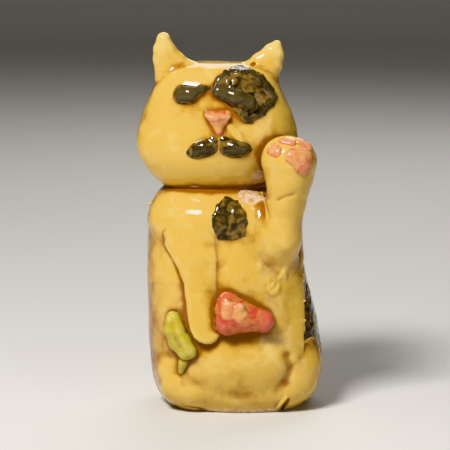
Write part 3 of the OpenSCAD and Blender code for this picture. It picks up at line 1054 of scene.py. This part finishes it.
def glaze(name, thin, body, pooled, flecks=None, worn=(0.0, 0.1), softness=0.1):
    """Coloured clay under a thick clear glaze: pale on edges, deep where the glaze pools, deepened on the
    flanks as painted shade, and darker towards the bottom.

    The flecks are patches of another colour, in full where the glaze is deeper than worn[1].
    """
    nodes = Nodes(name)
    cloud = nodes.noise(210, 3.0, 0.4)
    mottle = nodes.noise(900, 4.0)
    crease = nodes.attribute("crease")
    hollow_share = nodes.attribute("hollow")
    coarse = nodes.ramp(cloud, 0.3, 0.7, -0.02, 0.02)
    drift = nodes.maths("ADD", coarse, nodes.ramp(mottle, 0.3, 0.7, -0.006, 0.006))
    level = nodes.maths("MULTIPLY", nodes.maths("ADD", crease, hollow_share), 0.5)
    # the flanks are darkened here as painted shade, and the lower parts are darkened too
    shade_and_low_tone = nodes.maths("MULTIPLY", nodes.attribute("shade_and_low_tone"), 0.08)
    depth = nodes.maths("ADD", nodes.maths("ADD", level, drift), shade_and_low_tone)
    base = nodes.mix(nodes.ramp(depth, 0.33, 0.44), thin, body)
    base = nodes.mix(nodes.ramp(nodes.noise(300, 4.0, 0.8), 0.50, 0.72, 0.0, 0.5), base, thin)
    base = nodes.mix(nodes.ramp(depth, 0.49, 0.59), base, pooled)
    if flecks:
        patchy = nodes.ramp(nodes.noise(560, 6.0, 1.0), 0.38, 0.64, 0.0, 0.8)
        base = nodes.mix(nodes.maths("MULTIPLY", patchy, nodes.ramp(depth, *worn)), base, flecks)
    bare = nodes.attribute("bare")
    ragged = nodes.maths("ADD", bare, nodes.ramp(nodes.noise(1500, 4.0), 0.3, 0.7, -0.2, 0.2))
    bare_share = nodes.ramp(ragged, 0.35, 0.75)
    clay = nodes.mix(nodes.ramp(mottle, 0.4, 0.65), BARE_CLAY, DARKER_CLAY)
    base = nodes.mix(bare_share, base, clay)
    nodes.link(base, nodes.shader.inputs["Base Color"])
    polish = nodes.ramp(mottle, 0.3, 0.7, *GLAZE_ROUGHNESS)
    shine = nodes.maths("ADD", polish, nodes.maths("MULTIPLY", bare_share, 0.6))
    nodes.link(shine, nodes.shader.inputs["Roughness"])
    nodes.shader.inputs["IOR"].default_value = GLAZE_IOR
    nodes.shader.inputs["Subsurface Weight"].default_value = softness
    nodes.shader.inputs["Subsurface Radius"].default_value = (1.0, 0.55, 0.2)
    nodes.shader.inputs["Subsurface Scale"].default_value = 1.2 * MM
    ripple = nodes.maths("MULTIPLY", nodes.noise(2200, 3.0), 0.12)
    skin_height = nodes.maths("ADD", nodes.noise(260, 2.0), ripple)
    nodes.bump(skin_height, 0.12 * MM)
    return nodes.material


def bare_clay():
    nodes = Nodes("bare_clay")
    grain = nodes.noise(2600, 5.0)
    cloud = nodes.noise(240, 3.0)
    base = nodes.mix(nodes.ramp(cloud, 0.35, 0.65), BARE_CLAY, DARKER_CLAY)
    base = nodes.mix(nodes.ramp(grain, 0.6, 0.75, 0.0, 0.5), base, colour(160, 126, 92))
    nodes.link(base, nodes.shader.inputs["Base Color"])
    nodes.link(nodes.ramp(grain, 0.3, 0.7, 0.65, 0.9), nodes.shader.inputs["Roughness"])
    nodes.bump(grain, 0.06 * MM)
    return nodes.material


MATERIALS = {
    "honey_glaze": glaze("honey_glaze", colour(222, 192, 114), colour(210, 172, 84), colour(138, 82, 15)),
    "black_glaze": glaze(
        "black_glaze", colour(86, 74, 46), colour(48, 41, 26), colour(22, 18, 10),
        flecks=colour(142, 112, 60), worn=(0.40, 0.47), softness=0.0,
    ),
    "pink_glaze": glaze(
        "pink_glaze", colour(214, 146, 106), colour(200, 112, 84), colour(160, 84, 40),
        flecks=colour(212, 166, 98),
    ),
    "red_glaze": glaze(
        "red_glaze", colour(200, 98, 82), colour(180, 74, 62), colour(92, 40, 20),
        flecks=colour(196, 132, 72), worn=(0.30, 0.46),
    ),
    "green_glaze": glaze(
        "green_glaze", colour(204, 192, 98), colour(172, 156, 54), colour(84, 70, 16),
        flecks=colour(182, 156, 66),
    ),
    "bare_clay": bare_clay(),
}


# ---------------------------------------------------------------- floor, light and camera

def studio():
    """A pale floor that curves up behind the figurine."""
    reach, bend, rise = 1.2, 0.25, 0.9
    profile = [(-reach, 0.0), (reach - bend, 0.0)]
    profile += [
        (reach - bend + bend * math.sin(a), bend - bend * math.cos(a))
        for a in np.radians(np.arange(15, 91, 15))
    ]
    profile.append((reach, rise))
    mesh = bpy.data.meshes.new("floor")
    points = [(side * reach, y, z) for y, z in profile for side in (-1, 1)]
    faces = [(2 * i, 2 * i + 1, 2 * i + 3, 2 * i + 2) for i in range(len(profile) - 1)]
    mesh.from_pydata(points, [], faces)
    mesh.polygons.foreach_set("use_smooth", [True] * len(faces))
    floor = bpy.data.objects.new("floor", mesh)
    nodes = Nodes("floor")
    nodes.shader.inputs["Base Color"].default_value = colour(206, 203, 198) + (1.0,)
    nodes.shader.inputs["Roughness"].default_value = 0.8
    mesh.materials.append(nodes.material)
    bpy.context.scene.collection.objects.link(floor)


def lamp(name, place, target, size, power):
    """A soft rectangular light, in metres and watts, that faces target."""
    data = bpy.data.lights.new(name, "AREA")
    data.shape = "RECTANGLE"
    data.size, data.size_y = size
    data.energy = power
    light = bpy.data.objects.new(name, data)
    light.location = place
    light.rotation_euler = (Vector(target) - Vector(place)).to_track_quat("-Z", "Y").to_euler()
    bpy.context.scene.collection.objects.link(light)


def lights():
    middle = (0.0, 0.0, 0.04)
    lamp("key", (-0.17, -0.28, 0.37), middle, (0.15, 0.10), 3.1)
    lamp("fill", (0.36, -0.40, 0.16), middle, (0.30, 0.30), 0.35)
    lamp("back", (0.10, 0.40, 0.42), middle, (0.40, 0.20), 1.2)
    world = bpy.data.worlds.new("studio")
    world.use_nodes = True
    background = world.node_tree.nodes["Background"]
    background.inputs["Color"].default_value = (1.0, 0.97, 0.92, 1.0)
    background.inputs["Strength"].default_value = 0.12
    bpy.context.scene.world = world


def camera():
    """Looks at the cat's front from a little above."""
    distance, elevation, frame_height = 0.45, math.radians(9), 0.0896
    target = Vector((-0.0018, -0.008, 0.0376))
    data = bpy.data.cameras.new("camera")
    data.sensor_width = 36
    data.lens = data.sensor_width * distance / frame_height
    data.clip_start = 0.01
    view = bpy.data.objects.new("camera", data)
    away = Vector((0, -math.cos(elevation), math.sin(elevation)))
    view.location = target + away * distance
    view.rotation_euler = (-away).to_track_quat("-Z", "Y").to_euler()
    bpy.context.scene.collection.objects.link(view)
    bpy.context.scene.camera = view
    bpy.context.scene.view_settings.view_transform = "Khronos PBR Neutral"


def main():
    pools = pooling()
    for name, (shape, step, material) in PIECES.items():
        sculpt(name, shape, step, material, pools)
    studio()
    lights()
    camera()


main()
